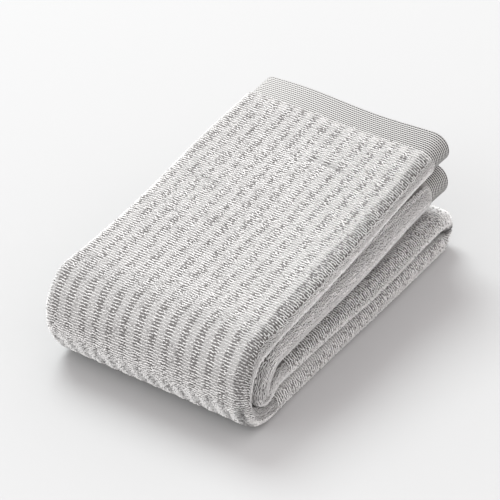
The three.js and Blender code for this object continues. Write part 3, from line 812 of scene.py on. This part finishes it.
def make_pile(cloth, pile, colours):
    """The terry loops, as joined meshes: one piece of white and one of grey yarn for each part of the towel. Grey
    loops stand only on every other place, so twice their share of those are grey."""
    rng = np.random.default_rng(pile.seed)
    across, along, gap, shade, part, alternate = loop_places(cloth, pile, rng)
    count = len(across)
    low = 1 - ease(*STRIPE_LOOPS, cloth.rib(across, along) + rng.normal(0, STRIPE_SPREAD, count))
    grey_share = (GREY_SHARE[0] + GREY_SHARE[1] * low) * alternate
    grey = (rng.random(count) * 0.5 < grey_share) & (part != BAND)
    stretch = stretch_at(cloth, along)
    points = loop_points(cloth, pile, across, along, gap, part == BAND, low, rng)
    tone_and_painted_shade = loop_tints(cloth, across, along, shade, part, stretch, low, rng)
    parts = {
        "top": (part == FLAT) & (stretch == TOP),
        "near_end": (part == FLAT) & (stretch == NEAR_END),
        "far_fold": (part == FLAT) & (stretch > NEAR_END),
        "right_folds": (part == RIGHT) | (part == BAND),
        "left_folds": part == LEFT,
    }
    yarns = {
        "white": (~grey, yarn_material("white_cotton_yarn", colours.rib)),
        "grey": (grey, yarn_material("grey_cotton_yarn", colours.stripe)),
    }
    made = []
    for name, in_part in parts.items():
        for yarn, (of_yarn, material) in yarns.items():
            kept = in_part & of_yarn
            first = np.arange(kept.sum())[:, None, None] * LOOP_POINTS
            faces = (LOOP_FACES[None] + first).reshape(-1, 3)
            # each loop's yarn colour is scaled by its tone, which holds its random unevenness and the painted shade
            made.append(mesh_object(
                f"pile_{name}_{yarn}", points[kept].reshape(-1, 3), faces, material,
                attributes={"tone_and_painted_shade": np.repeat(tone_and_painted_shade[kept], LOOP_POINTS)},
            ))
    return made


def length(name, description, value):
    """A length with a default in millimetres."""
    return FloatProperty(name=name, description=description, default=value * MM, unit="LENGTH", precision=5)


def angle(name, description, degrees):
    """An angle with a default in degrees."""
    return FloatProperty(name=name, description=description, default=np.radians(degrees), subtype="ANGLE")


def colour(name, description, value):
    """A colour with a default in sRGB hex."""
    return FloatVectorProperty(
        name=name, description=description, default=linear(value), subtype="COLOR", min=0, max=1
    )


class TowelCloth(bpy.types.PropertyGroup):
    """Sizes of the cloth and of the folded towel."""

    cloth_width: length("Cloth width", "Selvedge to selvedge, unfolded", 340)
    folded_width: length("Folded width", "Side to side of the folded towel", 117)
    folded_length: length("Folded length", "End to end of the folded towel", 203)
    spacing: length("Layer spacing", "From one cloth to the next where they lie close", 4.3)
    ground: length("Ground", "Half the thickness of the woven cloth", 0.9)
    pile_out: length("Outer pile", "Height of the pile on the face that shows", 1.05)
    pile_in: length("Inner pile", "Height of the pile on the other face", 0.75)
    hem: length("Hem", "Width of the flat woven band at each end", 17)
    rib_pitch: length("Rib pitch", "From one white rib to the next", 8.2)
    rib_at: length("Rib place", "Where the middle rib lies across the cloth", -0.4)
    rib_depth: length("Rib depth", "How far the grey stripes lie below the ribs", 0.7)


class TowelPile(bpy.types.PropertyGroup):
    """Sizes of the terry loops."""

    row_pitch: length("Row pitch", "From one row of loops to the next, along the cloth", 1.53)
    loop_pitch: length("Loop pitch", "From one loop to the next in a row", 1.15)
    column_pitch: length("Column pitch", "From one column of loops to the next on the band of the side", 0.85)
    loop_length: length("Loop length", "From foot to foot of a loop", 1.3)
    yarn_radius: length("Yarn radius", "Half the thickness of the pile yarn", 0.31)
    overshoot: length("Overshoot", "How far the tips stand over the ribs of the solid", 0.3)
    seed: IntProperty(name="Seed", description="Start of the random numbers", default=7)


class TowelColours(bpy.types.PropertyGroup):
    """Colours of the yarns and of the stage."""

    rib: colour("Rib", "White cotton of the ribs", "fdfcfb")
    stripe: colour("Stripe", "Grey cotton mixed into the stripes", "bdbbba")
    # The grounds are painted darker than their cotton, as the shade deep between the rows of loops; the stripes'
    # ground is grey cotton as well
    rib_ground: colour("Rib ground", "Woven ground under the ribs", "bdbcbb")
    stripe_ground: colour("Stripe ground", "Woven ground between the rows of a stripe", "838180")
    # painted shade: the dark ground between the fine columns of the side and on the third level's top under the
    # levels above
    band_ground_painted_shade: colour("Band ground", "Woven ground under the fine columns of the side", "72706e")
    rib_far: colour("Rib from afar", "Rows and ground of a rib together", "dcdad8")
    stripe_far: colour("Stripe from afar", "Rows and ground of a stripe together", "b5b3b1")
    hem: colour("Hem", "White cotton of the flat hem", "d0cfcd")
    # painted shade in the grooves between the rows of the hem's weave
    hem_gap: colour("Hem gap", "Between the rows of the hem's weave", "242220")
    floor: colour("Floor", "Light grey painted board, which the strong light makes near white", "bdbdbd")


class TowelStage(bpy.types.PropertyGroup):
    """Camera and light."""

    azimuth: angle("Azimuth", "How far the camera stands to the right of the near end", 34.11)
    elevation: angle("Elevation", "Height of the camera over the horizon", 34.30)
    distance: length("Distance", "Camera to the origin's plane", 928.8)
    aside: length("Aside", "Camera moved to its right", -5.36)
    raised: length("Raised", "Camera moved up its picture", 25.99)
    lens: FloatProperty(name="Lens", description="Focal length on a 36 mm wide sensor, in millimetres", default=129.6)
    key_azimuth: angle("Key azimuth", "Direction of the main light, seen from above, as for the camera", -120)
    key_elevation: angle("Key elevation", "Height of the main light over the horizon", 52)
    key_power: FloatProperty(name="Key power", description="Main light, in watts", default=121, min=0)
    fill_azimuth: angle("Fill azimuth", "Direction of the weak light", -30)
    fill_elevation: angle("Fill elevation", "Height of the weak light over the horizon", 30)
    fill_power: FloatProperty(name="Fill power", description="Weak light, in watts", default=31, min=0)
    sky: FloatProperty(name="Sky", description="Strength of the even light all round", default=1.16, min=0)


class TOWEL_OT_cloth(bpy.types.Operator):
    """Make the folded cloth with its hems and selvedges"""

    bl_idname = "towel.cloth"
    bl_label = "Make Folded Cloth"

    def execute(self, context):
        make_towel(FoldedCloth(context.scene.towel_cloth), context.scene.towel_colours)
        return {"FINISHED"}


class TOWEL_OT_pile(bpy.types.Operator):
    bl_idname = "towel.pile"
    bl_label = "Make Terry Pile"

    def execute(self, context):
        scene = context.scene
        towel = scene.objects.get("towel_cloth")
        if towel is None:
            raise RuntimeError("Make the folded cloth before its pile")
        cloth = FoldedCloth(scene.towel_cloth)
        loops = make_pile(cloth, scene.towel_pile, scene.towel_colours)
        return {"FINISHED"}


def towards(azimuth, elevation):
    """The unit vector from the origin to a place at an azimuth, counted from the near end to the right, and at an
    elevation over the horizon."""
    flat = np.cos(elevation)
    return Vector((np.sin(azimuth) * flat, -np.cos(azimuth) * flat, np.sin(elevation)))


def make_floor(scene):
    """A matt painted board, flat and much larger than the picture. It takes soft shadows and mirrors nothing."""
    material, _, shader = new_material("matt_painted_board", roughness=0.9, sheen=0.0)
    shader.inputs["Base Color"].default_value = (*scene.towel_colours.floor, 1)
    mesh = bpy.data.meshes.new("floor")
    half = BOARD_HALF
    mesh.from_pydata([(-half, -half, 0), (half, -half, 0), (half, half, 0), (-half, half, 0)], [], [(0, 1, 2, 3)])
    mesh.materials.append(material)
    floor = add_object("floor", mesh)


def make_lights(scene, stage):
    """One large softbox behind on the left, a weak one in front, and even light from all round."""
    for name, azimuth, elevation, power in (
        ("softbox", stage.key_azimuth, stage.key_elevation, stage.key_power),
        ("fill", stage.fill_azimuth, stage.fill_elevation, stage.fill_power),
    ):
        light = bpy.data.lights.new(name, "AREA")
        light.shape = "DISK"
        light.size = LIGHT_SIZE
        light.energy = power
        light.color = LIGHT_COLOUR
        box = add_object(name, light)
        way = towards(azimuth, elevation)
        box.location = way * LIGHT_DISTANCE
        box.rotation_euler = way.to_track_quat("Z", "Y").to_euler()
    world = bpy.data.worlds.new("studio")
    world.use_nodes = True
    background = world.node_tree.nodes["Background"]
    background.inputs["Color"].default_value = SKY_COLOUR
    background.inputs["Strength"].default_value = stage.sky
    scene.world = world


def make_camera(scene, stage):
    """The photograph's viewpoint: along its line of sight, moved aside and up in its own picture plane."""
    back = towards(stage.azimuth, stage.elevation)
    right = Vector((np.cos(stage.azimuth), np.sin(stage.azimuth), 0))
    up = back.cross(right)
    data = bpy.data.cameras.new("camera")
    data.sensor_width = SENSOR
    data.lens = stage.lens
    data.clip_start, data.clip_end = CAMERA_RANGE
    camera = add_object("camera", data)
    camera.location = back * stage.distance + right * stage.aside + up * stage.raised
    camera.rotation_euler = Matrix((right, up, back)).transposed().to_euler()
    scene.camera = camera


class TOWEL_OT_stage(bpy.types.Operator):
    """Make the floor, the lights and the camera"""

    bl_idname = "towel.stage"
    bl_label = "Make Stage"

    def execute(self, context):
        scene, stage = context.scene, context.scene.towel_stage
        make_floor(scene)
        make_lights(scene, stage)
        make_camera(scene, stage)
        scene.view_settings.view_transform = "Standard"
        scene.view_settings.look = "None"
        return {"FINISHED"}


class TOWEL_PT_panel(bpy.types.Panel):
    """The towel's pieces and their sizes"""

    bl_label = "Folded Face Towel"
    bl_idname = "TOWEL_PT_panel"
    bl_space_type = "VIEW_3D"
    bl_region_type = "UI"
    bl_category = "Towel"

    def draw(self, context):
        layout, scene = self.layout, context.scene
        for operator, settings in (
            ("towel.cloth", scene.towel_cloth), ("towel.pile", scene.towel_pile), ("towel.stage", scene.towel_stage),
        ):
            box = layout.box()
            box.operator(operator)
            for name in settings.__annotations__:
                box.prop(settings, name)
        for name in scene.towel_colours.__annotations__:
            layout.prop(scene.towel_colours, name)


SETTINGS = {
    "towel_cloth": TowelCloth, "towel_pile": TowelPile, "towel_colours": TowelColours, "towel_stage": TowelStage,
}
CLASSES = (*SETTINGS.values(), TOWEL_OT_cloth, TOWEL_OT_pile, TOWEL_OT_stage, TOWEL_PT_panel)


def register():
    for item in CLASSES:
        bpy.utils.register_class(item)
    for name, group in SETTINGS.items():
        setattr(bpy.types.Scene, name, PointerProperty(type=group))


def unregister():
    for name in SETTINGS:
        delattr(bpy.types.Scene, name)
    for item in reversed(CLASSES):
        bpy.utils.unregister_class(item)


def main():
    """Makes the towel and its stage."""
    register()
    bpy.ops.towel.cloth()
    bpy.ops.towel.pile()
    bpy.ops.towel.stage()


if __name__ == "__main__":
    main()
